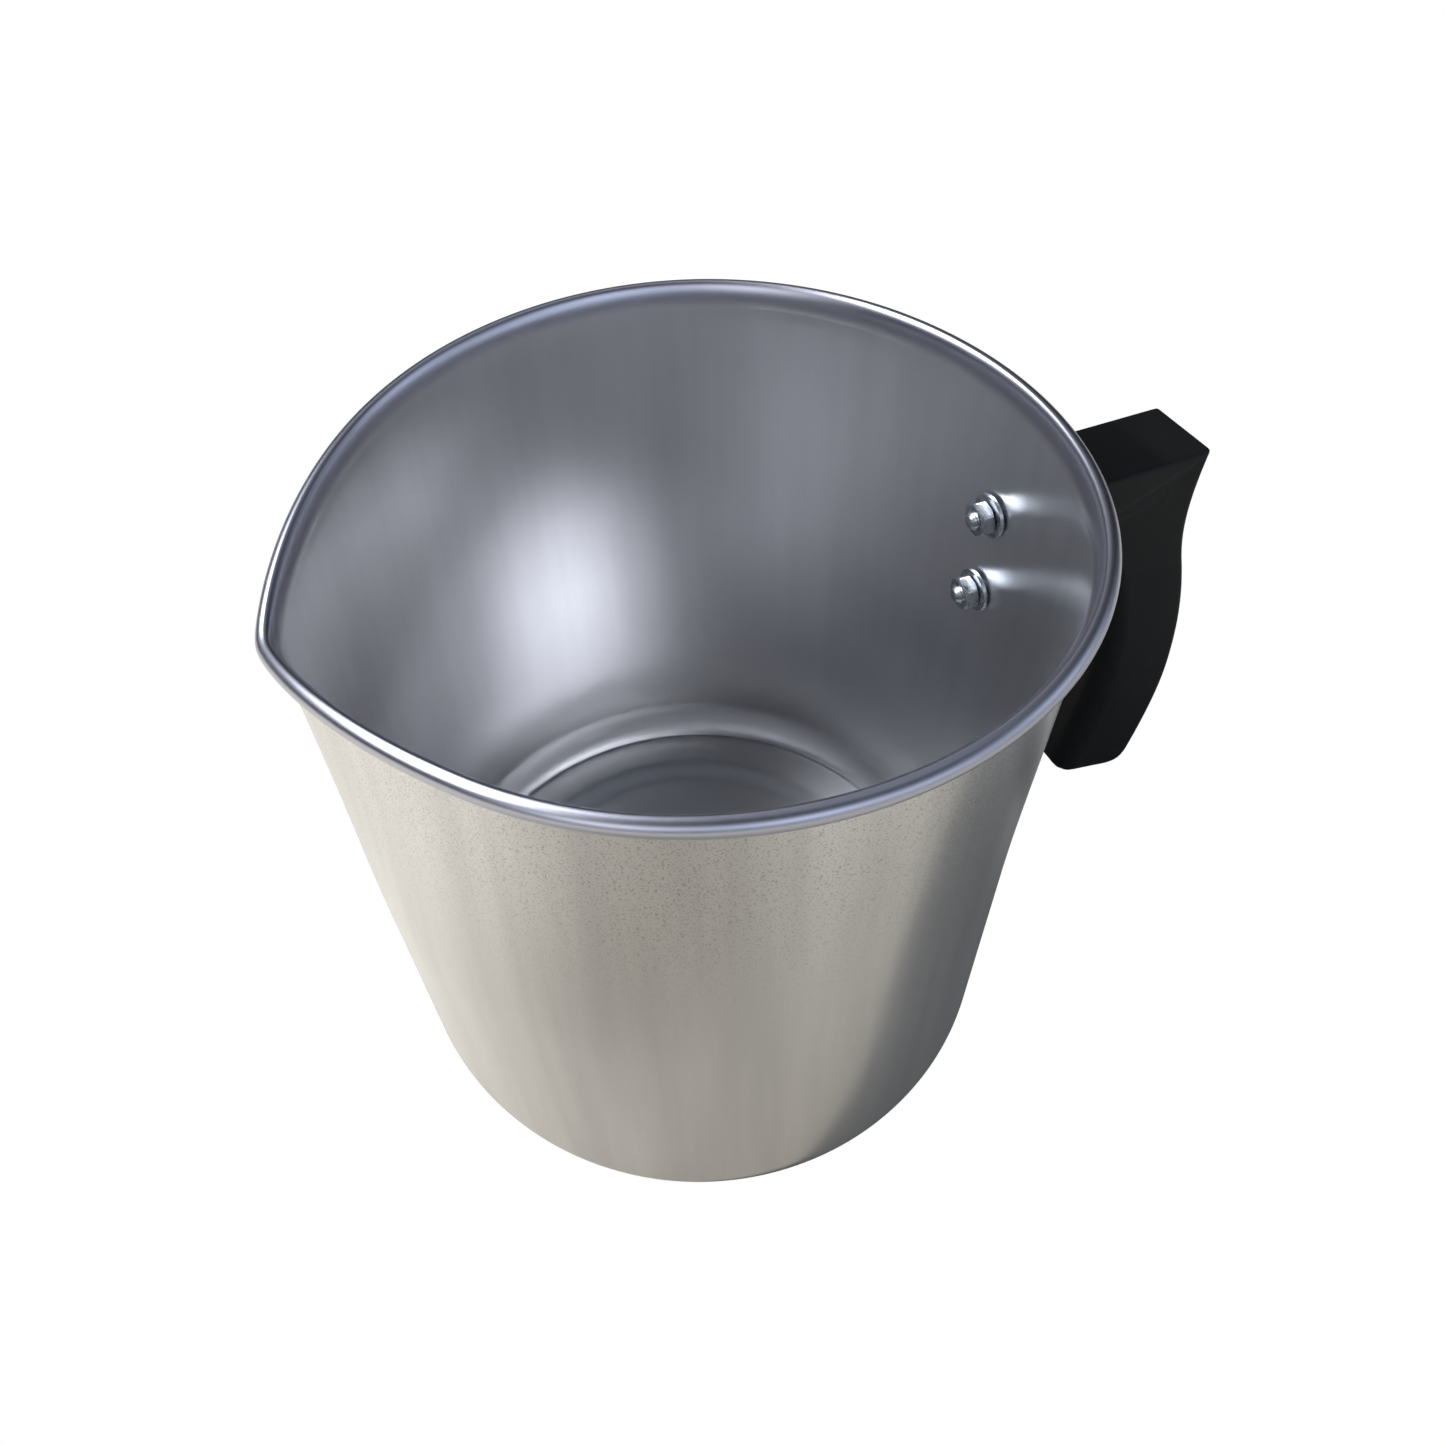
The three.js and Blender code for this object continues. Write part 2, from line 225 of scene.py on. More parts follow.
def mesh_object(name, points, faces, materials, face_materials=None):
    """A smooth-shaded object from points in millimetres."""
    mesh = bpy.data.meshes.new(name)
    mesh.from_pydata([tuple(c * MM for c in p) for p in points], [], faces)
    for material in materials:
        mesh.materials.append(material)
    if face_materials:
        mesh.polygons.foreach_set("material_index", face_materials)
    mesh.polygons.foreach_set("use_smooth", [True] * len(mesh.polygons))
    mesh.update()
    with editing(mesh) as work:
        bmesh.ops.recalc_face_normals(work, faces=work.faces)
    return add_object(name, mesh)


def skin(rings, closed=False):
    """Joins rings of points into one skin. A ring of one point is a pole.

    Returns the points, the faces, and for each face the index of the ring it starts from.
    """
    points, starts = [], []
    for ring in rings:
        starts.append(len(points))
        points.extend(ring)
    faces, owners = [], []
    pairs = len(rings) if closed else len(rings) - 1
    for i in range(pairs):
        j = (i + 1) % len(rings)
        a, b = starts[i], starts[j]
        size_a, size_b = len(rings[i]), len(rings[j])
        count = max(size_a, size_b)
        for k in range(count):
            n = (k + 1) % count
            if size_a == 1:
                faces.append((a, b + n, b + k))
            elif size_b == 1:
                faces.append((a + k, a + n, b))
            else:
                faces.append((a + k, a + n, b + n, b + k))
            owners.append(i)
    return points, faces, owners


def sharpen(piece, degrees):
    """Keeps edges steeper than an angle crisp and the rest smooth."""
    limit = math.radians(degrees)
    with editing(piece.data) as work:
        for edge in work.edges:
            edge.smooth = edge.calc_face_angle(0.0) < limit


def apply_modifiers(piece):
    """Replaces the piece's mesh by its evaluated one."""
    graph = bpy.context.evaluated_depsgraph_get()
    evaluated = bpy.data.meshes.new_from_object(piece.evaluated_get(graph))
    piece.modifiers.clear()
    piece.data = evaluated


def combine(piece, tool, operation):
    """Cuts or keeps the piece by another solid, then throws that solid away."""
    step = piece.modifiers.new(operation, "BOOLEAN")
    step.operation = operation
    step.solver = "EXACT"
    step.object = tool
    apply_modifiers(piece)
    bpy.data.objects.remove(tool)


def smooth_step(t):
    t = min(max(t, 0.0), 1.0)
    return t * t * (3 - 2 * t)


def arc(centre_r, centre_z, radius, start, end, steps):
    turns = [start + (end - start) * i / steps for i in range(steps + 1)]
    return [(centre_r + radius * math.cos(a), centre_z + radius * math.sin(a)) for a in turns]


def bezier(p0, p1, p2, p3, steps):
    """Points of a cubic curve, the first one left out."""
    points = []
    for i in range(1, steps + 1):
        t = i / steps
        u = 1 - t
        weights = (u**3, 3 * u * u * t, 3 * u * t * t, t**3)
        corners = (p0, p1, p2, p3)
        points.append(tuple(sum(w * p[k] for w, p in zip(weights, corners)) for k in (0, 1)))
    return points


def chain(start, curves):
    """Points of cubic curves joined end to end, the first one left out."""
    points = []
    for first, second, end in curves:
        points += bezier(start, first, second, end, HANDLE_CURVE_STEPS)
        start = end
    return points


def round_angles(count=ROUND_STEPS):
    return [TURN * k / count for k in range(count)]


def across(x, radius, angle, height):
    """A point at an angle round an axis that lies along X at a height."""
    return (x, radius * math.cos(angle), height + radius * math.sin(angle))


def bar(name, radius, from_x, to_x, height):
    """A plain round bar along X."""
    rings = [[(from_x, 0.0, height)]]
    for x in (from_x, to_x):
        rings.append([across(x, radius, a, height) for a in round_angles()])
    rings.append([(to_x, 0.0, height)])
    points, faces, _ = skin(rings)
    return mesh_object(name, points, faces, [])


# ---------------------------------------------------------------- shader helpers


class Graph:
    """A node tree built up from short calls. Most calls return an output socket."""

    def __init__(self, tree):
        self.nodes = tree.nodes
        self.links = tree.links

    def put(self, node, socket, value):
        """Links a socket or sets a value. None leaves the node's own value."""
        if isinstance(value, bpy.types.NodeSocket):
            self.links.new(value, node.inputs[socket])
        elif value is not None:
            node.inputs[socket].default_value = value

    def place(self):
        return self.nodes.new("ShaderNodeTexCoord").outputs["Object"]

    def attribute(self, name):
        node = self.nodes.new("ShaderNodeAttribute")
        node.attribute_name = name
        return node.outputs["Fac"]

    def math(self, operation, a, b=None, c=None):
        node = self.nodes.new("ShaderNodeMath")
        node.operation = operation
        for i, value in enumerate((a, b, c)):
            self.put(node, i, value)
        return node.outputs[0]

    def vector(self, operation, a, b=None):
        node = self.nodes.new("ShaderNodeVectorMath")
        node.operation = operation
        self.put(node, 0, a)
        self.put(node, "Scale" if operation == "SCALE" else 1, b)
        is_number = operation in ("LENGTH", "DISTANCE", "DOT_PRODUCT")
        return node.outputs["Value" if is_number else "Vector"]

    def split(self, vector):
        node = self.nodes.new("ShaderNodeSeparateXYZ")
        self.put(node, 0, vector)
        return node.outputs[0], node.outputs[1], node.outputs[2]

    def join(self, x, y, z):
        node = self.nodes.new("ShaderNodeCombineXYZ")
        for i, value in enumerate((x, y, z)):
            self.put(node, i, value)
        return node.outputs[0]

    def noise(self, vector, scale, detail=3.0, roughness=0.5):
        node = self.nodes.new("ShaderNodeTexNoise")
        self.put(node, "Vector", vector)
        self.put(node, "Scale", scale)
        self.put(node, "Detail", detail)
        self.put(node, "Roughness", roughness)
        return node.outputs["Fac"]

    def ramp(self, value, low, high, to_low=0.0, to_high=1.0):
        """Maps low..high smoothly on to to_low..to_high."""
        node = self.nodes.new("ShaderNodeMapRange")
        node.interpolation_type = "SMOOTHSTEP"
        for i, number in enumerate((value, low, high, to_low, to_high)):
            self.put(node, i, number)
        return node.outputs[0]

    def blend(self, share, a, b):
        """Mixes two colours."""
        node = self.nodes.new("ShaderNodeMix")
        node.data_type = "RGBA"
        self.put(node, 0, share)
        self.put(node, 6, a)
        self.put(node, 7, b)
        return node.outputs[2]

    def between(self, share, a, b):
        """Mixes two numbers."""
        kept = self.math("MULTIPLY", a, self.math("SUBTRACT", 1.0, share))
        return self.math("ADD", kept, self.math("MULTIPLY", share, b))

    def bump(self, height, distance, strength):
        node = self.nodes.new("ShaderNodeBump")
        self.put(node, "Height", height)
        self.put(node, "Distance", distance)
        self.put(node, "Strength", strength)
        return node.outputs[0]

    def turned(self, around, along):
        """Coordinates stretched around the pot's axis, for the marks that turning leaves."""
        x, y, z = self.split(self.place())
        flat = self.join(x, y, 0.0)
        radius = self.vector("LENGTH", flat)
        cosine, sine, _ = self.split(self.vector("NORMALIZE", flat))
        run = self.math("MULTIPLY", self.math("ADD", radius, z), along)
        return self.join(
            self.math("MULTIPLY", cosine, around), self.math("MULTIPLY", sine, around), run)

    def behind_plain(self, plain, shader, output):
        """Sends the camera the plain shader, and every reflection and shadow the other one."""
        ray = self.nodes.new("ShaderNodeLightPath")
        mix = self.nodes.new("ShaderNodeMixShader")
        self.put(mix, 0, ray.outputs["Is Camera Ray"])
        self.put(mix, 1, shader)
        self.put(mix, 2, plain)
        self.put(self.nodes[output], 0, mix.outputs[0])


class Surface(Graph):
    """A node material around one principled shader."""

    def __init__(self, name, constants):
        self.material = bpy.data.materials.new(name)
        self.material.use_nodes = True
        super().__init__(self.material.node_tree)
        self.shader = self.nodes["Principled BSDF"]
        for socket, value in constants.items():
            self.put(self.shader, socket, value)


# ---------------------------------------------------------------- pot shell


def cone_radius(z):
    """Outer radius of the wall as turned, before it is pinched."""
    return BASE_RADIUS + (RIM_RADIUS - BASE_RADIUS) * z / RIM_HEIGHT


WALL_SLOPE = math.atan((RIM_RADIUS - BASE_RADIUS) / RIM_HEIGHT)
BEAD_CENTRE_RADIUS = RIM_RADIUS - SHEET + BEAD_RADIUS
CORNER_TANGENT_Z = CORNER_CENTRE_Z - CORNER_RADIUS * math.sin(WALL_SLOPE)
CORNER_CENTRE_RADIUS = cone_radius(CORNER_TANGENT_Z) - CORNER_RADIUS * math.cos(WALL_SLOPE)


def beak(phi):
    """Share of the beak's reach at an angle from its tip."""
    return max(1 - math.hypot(phi, BEAK_TIP_ROUNDING) / BEAK_HALF_ANGLE, 0.0) ** 2


def rim_shift(phi):
    """How far pinching moves the rim outwards, at an angle from the beak."""
    pinch = sum(term * math.cos((i + 1) * phi) for i, term in enumerate(PINCH))
    return RIM_PLAN_RADIUS - BEAD_CENTRE_RADIUS + pinch + BEAK_REACH * beak(phi)


def rim_lift(phi):
    """How far the rim stands above its mean height, at an angle from the beak."""
    return BEAK_DIP * beak(phi) + RIM_TILT * math.cos(phi) + RIM_BOW * math.cos(2 * phi)


def pinch_share(z):
    """How much of the rim's pinching is left at a height."""
    return 1 - smooth_step((RIM_HEIGHT - z) / PINCH_DEPTH)


def handle_side_radius(z):
    """Outer radius of the finished wall where the handle sits."""
    return cone_radius(z) + rim_shift(math.pi) * pinch_share(z)


def near(r, z, offsets):
    """Points at offsets from a corner of the section."""
    return [(r + dr, z + dz) for dr, dz in offsets]


def floor_step(drop):
    """The step from the raised ring of the floor down to its centre."""
    points = []
    for i in range(FLOOR_STEP_STEPS + 1):
        t = i / FLOOR_STEP_STEPS
        r = FLOOR_STEP_OUTER + (FLOOR_STEP_INNER - FLOOR_STEP_OUTER) * t
        z = FLOOR_RING_TOP - (FLOOR_RING_TOP - FLOOR_CENTRE_TOP) * smooth_step(t) - drop
        points.append((r, z))
    return points


def wall_points(offset, low, high):
    heights = [low + (high - low) * i / WALL_STEPS for i in range(1, WALL_STEPS + 1)]
    return [(cone_radius(z) - offset, z) for z in heights]


def lead_in(tube):
    """Quarter ellipse from the top of the bead down into the inner wall.

    It is a softer bend than the bead's own.
    """
    points = []
    for i in range(LEAD_IN_STEPS + 1):
        t = math.pi / 2 * i / LEAD_IN_STEPS
        r = BEAD_CENTRE_RADIUS - tube * math.sin(t)
        points.append((r, RIM_HEIGHT + tube - LEAD_IN_DEPTH * (1 - math.cos(t))))
    return points


def polish_and_reflection_fade():
    """How much polish and painted dark reflection each point of the lead-in gets: the last third
    of it fades out.
    """
    shares = [3 * (1 - i / LEAD_IN_STEPS) for i in range(LEAD_IN_STEPS + 1)]
    return [smooth_step(min(share, 1.0)) for share in shares]


def shell_profile():
    """Section through the sheet, how much polish and painted dark reflection each point gets,
    and whether it is inside.
    """
    corner = (CORNER_CENTRE_RADIUS, CORNER_CENTRE_Z)
    corner_stop = -math.acos((FOOT_OUTER - CORNER_CENTRE_RADIUS) / CORNER_RADIUS)
    outer_stop = corner_stop + CORNER_TRIM_OUTSIDE
    inner_stop = corner_stop + CORNER_TRIM_INSIDE
    bead = (BEAD_CENTRE_RADIUS, RIM_HEIGHT)
    tube = BEAD_RADIUS - BEAD_MARGIN
    under_bead = RIM_HEIGHT - BEAD_RADIUS - BEAD_MEETS_WALL
    under_lead_in = RIM_HEIGHT + tube - LEAD_IN_DEPTH - LEAD_IN_GAP
    underside = FLOOR_CENTRE_TOP - SHEET
    parts = [
        # points, polish and painted reflection, inside
        ([(0.0, underside), (FLOOR_HUB_RADIUS, underside)], 0, False),
        (floor_step(SHEET)[::-1], 0, False),
        (near(FLOOR_RING_OUTER, FLOOR_RING_TOP - SHEET, RECESS_ROUNDING), 0, False),
        (near(FOOT_INNER, 0.0, FOOT_ROUNDING), 0, False),
        ([(FOOT_OUTER, 0.0)], 0, False),
        (arc(*corner, CORNER_RADIUS, outer_stop, -WALL_SLOPE, CORNER_STEPS), 0, False),
        (wall_points(0, CORNER_TANGENT_Z, under_bead), 0, False),
        ([(RIM_RADIUS, RIM_HEIGHT)], 0, False),
        (arc(*bead, BEAD_RADIUS - SHEET, math.pi, BEAD_END_ANGLE, BEAD_INSIDE_STEPS)[1:],
         0, False),
        (arc(*bead, tube, BEAD_END_ANGLE, math.pi / 2, BEAD_OUTSIDE_STEPS)[:-1], 1, False),
        (lead_in(tube), polish_and_reflection_fade(), True),
        (wall_points(SHEET, CORNER_TANGENT_Z, under_lead_in)[::-1], 0, True),
        (arc(*corner, CORNER_RADIUS - SHEET, -WALL_SLOPE, inner_stop, CORNER_STEPS), 0, True),
        (near(FOOT_INNER, SHEET, VALLEY_ROUNDING), 0, True),
        (near(FLOOR_RING_OUTER, FLOOR_RING_TOP, FLOOR_RING_ROUNDING), 0, True),
        (floor_step(0), 0, True),
        ([(FLOOR_HUB_RADIUS, FLOOR_CENTRE_TOP), (0.0, FLOOR_CENTRE_TOP)], 0, True),
    ]
    profile, polish_and_painted_reflection, inside = [], [], []
    for points, polish_and_reflection_share, is_inside in parts:
        profile.extend(points)
        polish_and_painted_reflection.extend(polish_and_reflection_share if isinstance(polish_and_reflection_share, list) else [polish_and_reflection_share] * len(points))
        inside.extend([is_inside] * len(points))
    return profile, polish_and_painted_reflection, inside


def pinched(r, z, turn):
    """A point of the turned section, moved so that the rim follows its pinched plan shape."""
    if r == 0.0:
        return (0.0, 0.0, z)
    phi = turn - BEAK_CROWDING * math.sin(turn)
    share = pinch_share(z)
    radius = r + rim_shift(phi) * share
    if z > RIM_HEIGHT - 2 * BEAD_RADIUS:
        around = (BEAD_WAVER_SCALE * math.cos(phi), BEAD_WAVER_SCALE * math.sin(phi), 0.0)
        radius -= BEAD_WAVER * (1 + noise.noise(around))
    return (-radius * math.cos(phi), -radius * math.sin(phi), z + rim_lift(phi) * share)


def build_pot(outside, inside):
    profile, polish_and_painted_reflection, is_inside = shell_profile()
    turns = [TURN * k / SHELL_STEPS - math.pi for k in range(SHELL_STEPS)]
    rings = []
    for r, z in profile:
        rings.append([pinched(r, z, t) for t in (turns if r else turns[:1])])
    points, faces, owners = skin(rings)
    sides = [int(is_inside[i] and is_inside[i + 1]) for i in owners]
    pot = mesh_object("pot_body", points, faces, [outside, inside], sides)
    values = []
    for ring, value in zip(rings, polish_and_painted_reflection):
        values.extend([value] * len(ring))
    pot.data.attributes.new("polish_and_painted_reflection", "FLOAT", "POINT").data.foreach_set("value", values)
    for height in FIXING_HEIGHTS.values():
        combine(pot, bar("drill", STUD_RADIUS + FIT_GAP, *DRILL_SPAN, height), "DIFFERENCE")
    sharpen(pot, CRISP["pot"])
    return pot


# ---------------------------------------------------------------- handle


def finger_side():
    """From the end of the grip up the finger side, over the arch, to the pad's face."""
    return [GRIP_END_INSIDE] + chain(GRIP_END_INSIDE, FINGER_CURVES)


def rounded_corner(before, corner, after, radius):
    """A corner cut back by the radius along both sides and rounded."""
    corner = Vector(corner)
    start = corner + (Vector(before) - corner).normalized() * radius
    end = corner + (Vector(after) - corner).normalized() * radius
    first = start.lerp(corner, 1 - CORNER_FULLNESS)
    last = end.lerp(corner, 1 - CORNER_FULLNESS)
    return [tuple(start)] + bezier(start, first, last, end, CORNER_CURVE_STEPS)


def handle_outline():
    """Side view of the handle."""
    outline = rounded_corner(
        GRIP_END_OUTSIDE, GRIP_END_INSIDE, TOWARDS_GRIP, END_CORNER_ROUNDING)
    outline += finger_side()[2:]
    outline += chain(PAD_FACE, PAD_CURVES)
    outline += [(INSIDE_POT, PAD_FOOT[1] - PAD_UNDERCUT), (INSIDE_POT, HANDLE_TOP)]
    outline += rounded_corner(
        (INSIDE_POT, HANDLE_TOP), TOP_OUTSIDE, TOWARDS_WAIST, TOP_CORNER_ROUNDING)
    outline += chain(outline[-1], BACK_CURVES)
    return outline


def finger_stock_outline():
    """Shares only the finger side with the outline above and is oversize elsewhere."""
    low = GRIP_END_INSIDE[1] - HANDLE_STOCK
    far = GRIP_OUTSIDE[0] + HANDLE_STOCK
    high = HANDLE_TOP + HANDLE_STOCK
    under_pad = PAD_FOOT[1] - HANDLE_STOCK
    outline = [(GRIP_END_INSIDE[0] - HANDLE_STOCK_OVERLAPS["grip"], low)] + finger_side()
    outline += [(PAD_FACE[0] - HANDLE_STOCK_OVERLAPS["pad"], under_pad), (INSIDE_POT, under_pad)]
    outline += [(INSIDE_POT, high), (far, high), (far, low)]
    return outline


def inset(outline, distance):
    """The outline moved inwards, with mitred corners."""
    count = len(outline)
    area = sum(outline[i - 1][0] * outline[i][1] - outline[i][0] * outline[i - 1][1]
               for i in range(count))
    side = 1.0 if area > 0 else -1.0
    moved = []
    for i, point in enumerate(outline):
        before = Vector(point) - Vector(outline[i - 1])
        after = Vector(outline[(i + 1) % count]) - Vector(point)
        n1 = Vector((-before.y, before.x)).normalized() * side
        n2 = Vector((-after.y, after.x)).normalized() * side
        mitre = (n1 + n2) / (1 + n1.dot(n2))
        moved.append(tuple(Vector(point) + mitre * distance))
    return moved


def handle_block(name, outline, rounding, steps):
    """A side view carried across the handle with rounded edges, flaring outwards."""
    loops = []
    for k in range(steps + 1):
        a = math.pi / 2 * (1 - k / steps)
        half = HANDLE_HALF_WIDTH - HANDLE_MARGIN - rounding * (1 - math.sin(a))
        loops.append((inset(outline, HANDLE_MARGIN + rounding * (1 - math.cos(a))), half))
    loops += [(loop, -half) for loop, half in reversed(loops)]
    rings = []
    for loop, y in loops:
        ring = []
        for x, z in loop:
            ring.append((x, y + math.copysign(HANDLE_FLARE * (x - HANDLE_WIDTH_AT), y), z))
        rings.append(ring)
    points, faces, _ = skin(rings)
    count = len(outline)
    faces.append(tuple(range(count)))
    faces.append(tuple(range(len(points) - count, len(points))))
    return mesh_object(name, points, faces, [])


def pot_plug():
    """The pot as a plain solid on the handle's side, to shape the pad's face."""
    heights = [RIM_HEIGHT * i / PLUG_LEVELS for i in range(PLUG_LEVELS + 1)]
    rings = [[(0.0, 0.0, 0.0)]]
    for z in heights:
        radius = handle_side_radius(z) + FIT_GAP
        angles = round_angles(PLUG_STEPS)
        rings.append([(radius * math.cos(t), radius * math.sin(t), z) for t in angles])
    rings.append([(0.0, 0.0, RIM_HEIGHT)])
    points, faces, _ = skin(rings)
    return mesh_object("plug", points, faces, [])


def build_handle(finish):
    handle = handle_block(
        "handle_moulding", handle_outline(), HANDLE_EDGE_ROUNDING, HANDLE_EDGE_STEPS)
    rounded = handle_block(
        "finger_stock", finger_stock_outline(), FINGER_ROUNDING, FINGER_ROUNDING_STEPS)
    combine(handle, rounded, "INTERSECT")
    combine(handle, pot_plug(), "DIFFERENCE")
    for height in FIXING_HEIGHTS.values():
        pocket = bar("pocket", STUD_RADIUS + FIT_GAP, *POCKET_SPAN, height)
        combine(handle, pocket, "DIFFERENCE")
    remesh = handle.modifiers.new("remesh", "REMESH")
    remesh.mode = "VOXEL"
    remesh.voxel_size = HANDLE_VOXEL * MM
    remesh.use_smooth_shade = True
    relax = handle.modifiers.new("relax", "SMOOTH")
    relax.factor = HANDLE_RELAXING["factor"]
    relax.iterations = HANDLE_RELAXING["iterations"]
    apply_modifiers(handle)
    handle.data.materials.clear()
    handle.data.materials.append(finish)
    return handle


# ---------------------------------------------------------------- fixings


def stack_starts(height):
    """Where the washer and the nut on a stud begin, along X from the pot's axis."""
    washer = handle_side_radius(height) - SHEET - SEAT_GAP - WASHER["length"]
    return {"washer": washer, "nut": washer - FIT_GAP - NUT_LENGTH}


def thread_radius(x, start, angle):
    """The ridge of a screw thread, running in over the first turn and out at the end."""
    along = x - start
    phase = (along / THREAD_PITCH - angle / TURN) % 1.0
    ridge = abs(2 * phase - 1)
    run_in = smooth_step(along / THREAD_RUN_IN)
    run_out = smooth_step((THREAD_LENGTH - along) / THREAD_RUN_OUT)
    return STUD_RADIUS - THREAD_DEPTH * (1 - ridge) * (run_in * run_out)


def build_stud(level, height, finish):
    tip = stack_starts(height)["nut"] - STUD_TIP_LENGTH
    tip_radius = STUD_RADIUS - STUD_TIP_CHAMFER
    thread = tip + STUD_TIP_EDGE["length"]
    head = STUD_HEAD_OUTER_X - STUD_HEAD_LENGTH
    angles = round_angles()

    def ring(x, radius):
        return [across(x, radius, a, height) for a in angles]

    rings = [[(tip, 0.0, height)]]
    rings += [ring(tip, tip_radius - STUD_TIP_EDGE["radius"]), ring(thread, tip_radius)]
    for i in range(THREAD_STEPS + 1):
        x = thread + THREAD_LENGTH * i / THREAD_STEPS
        cone = tip_radius + (x - tip)
        rings.append(
            [across(x, min(cone, thread_radius(x, tip, a)), a, height) for a in angles])
    rings += [ring(head, STUD_RADIUS), ring(head, STUD_HEAD_RADIUS)]
    rings += [ring(STUD_HEAD_OUTER_X, STUD_HEAD_RADIUS), [(STUD_HEAD_OUTER_X, 0.0, height)]]
    points, faces, _ = skin(rings)
    stud = mesh_object(f"stud_{level}_threaded", points, faces, [finish])
    sharpen(stud, CRISP["stud"])
    return stud


def hexagon_radius(angle):
    """Distance to the flats of a hexagon, its corners worn slightly round."""
    sixth = math.pi / 3
    local = (angle + sixth / 2) % sixth - sixth / 2
    flat = NUT_ACROSS_FLATS / 2 / math.cos(local)
    return min(flat, NUT_ACROSS_FLATS / 2 / math.cos(sixth / 2) - NUT_CORNER_WEAR)


def build_nut(level, height, finish):
    start = stack_starts(height)["nut"]
    end = start + NUT_LENGTH
    angles = round_angles(NUT_STEPS)
    turn = math.radians(NUT_TURNS[level])

    def ring(x, radius, turned_by=0.0):
        return [across(x, radius, a + turned_by, height) for a in angles]

    def chamfered_ring(x, inwards):
        points = []
        for a in angles:
            radius = hexagon_radius(a)
            back = inwards * max(radius - NUT_FACE_RADIUS, 0.0) * NUT_CHAMFER_SLOPE
            points.append(across(x + back, radius, a + turn, height))
        return points

    rings = [
        ring(start + NUT_COUNTERSINK, NUT_BORE_RADIUS - NUT_COUNTERSINK),
        ring(start, NUT_BORE_RADIUS + NUT_BORE_FLARE),
        ring(start, NUT_FACE_RADIUS, turn),
        chamfered_ring(start, 1),
        chamfered_ring(end, -1),
        ring(end, NUT_FACE_RADIUS, turn),
        ring(end, NUT_BORE_RADIUS - NUT_BORE_FLARE),
    ]
    points, faces, _ = skin(rings, closed=True)
    nut = mesh_object(f"nut_{level}_hexagonal", points, faces, [finish])
    soften = nut.modifiers.new("edges", "BEVEL")
    soften.width = NUT_EDGE_WIDTH * MM
    soften.segments = NUT_EDGE_SEGMENTS
    soften.limit_method = "ANGLE"
    soften.angle_limit = math.radians(NUT_EDGE_DEGREES)
    apply_modifiers(nut)
    sharpen(nut, CRISP["nut"])
    return nut


def build_washer(level, height, finish):
    """Its rim is rounded towards the nut, and only broken towards the wall."""
    start = stack_starts(height)["washer"]
    inner, outer, length, edge = WASHER["inner"], WASHER["outer"], WASHER["length"], WASHER_EDGE
    section = [
        (inner, edge), (inner + edge, 0),
        (outer - 2 * edge, 0), (outer - 0.6 * edge, 0.4 * edge), (outer, 2 * edge),
        (outer, length - edge / 2), (outer - edge / 2, length),
        (inner, length),
    ]
    rings = [[across(start + x, r, a, height) for a in round_angles()] for r, x in section]
    points, faces, _ = skin(rings, closed=True)
    washer = mesh_object(f"flat_washer_{level}_round", points, faces, [finish])
    sharpen(washer, CRISP["washer"])
    return washer


# ---------------------------------------------------------------- materials

# Lengths are in metres and texture scales are per metre. The noise of a texture lies mostly
# within MIDTONES, so most ramps run over that.
MIDTONES = (0.3, 0.7)

POT_OUTSIDE = {
    "name": "aluminium_outside", "colour": (0.80, 0.785, 0.76, 1), "roughness": 0.20,
    "anisotropic": 0.0, "line_scale": 3200.0, "line_depth": 0.025, "streak_shade": 0.86,
}
POT_INSIDE = {
    "name": "aluminium_inside", "colour": (0.87, 0.865, 0.87, 1), "roughness": 0.30,
    "anisotropic": 0.38, "line_scale": 900.0, "line_depth": 0.01, "streak_shade": 0.94,
}
LINE_ROUNDNESS = 1.5
STREAK_SCALES = (9.0, 8.0)
CLOUD_SCALE = 28.0
CLOUD_MIDTONES = (0.25, 0.75)
CLOUD_ROUGHNESS = (-0.01, 0.02)
SPECKLE_SCALE = 1500.0
SPECKLE_HEIGHT = 0.000004
SPECKLE_STRENGTH = (0.2, 0.06)
FINE_NOISE = (2.0, 0.6)

# Painted shade: below these heights the inside's colour darkens towards the bottom, and its
# roughness rises there.
LOW_SHADE_AND_ROUGHNESS_HEIGHTS = (0.012, 0.066)
LOW_PAINTED_SHADE_COLOUR = (0.58, 0.575, 0.58, 1)
DULL_ROUGHNESS = 0.06

PIT_SCALE = 2600.0
PIT_LIMITS = (0.53, 0.66)
PIT_HEIGHTS = (0.075, 0.13)
PIT_SHARES = (0.15, 0.8)
PIT_COLOUR = (0.42, 0.40, 0.37, 1)

# Painted reflection: the bead's colour is made darker and bluer, as it looks when it reflects a
# dark room.
BEAD_PAINTED_REFLECTION_COLOUR = (0.50, 0.495, 0.55, 1)
BURNISH_ROUGHNESS = (0.285, 0.315)

BLACKS = ((0.004, 0.004, 0.0045, 1), (0.007, 0.0068, 0.007, 1))
BLACK_SPECULAR = 0.16
BLACK_ROUGHNESS = (0.42, 0.52)
BLACK_CLOUD_SCALE = 60.0
BLACK_GRAIN = {"scale": 1800.0, "roughness": 0.6, "height": 0.00004, "strength": 0.5}

ZINC = (0.58, 0.61, 0.64, 1)
ZINC_SHADE = 0.8
ZINC_ROUGHNESS = (0.22, 0.34)
ZINC_DETAIL = 2.0
ZINC_CLOUD_SCALE = 500.0
ZINC_GRAIN = {"scale": 4000.0, "height": 0.00001, "strength": 0.4}


def shaded(colour, share):
    return tuple(c * share for c in colour[:3]) + (1,)


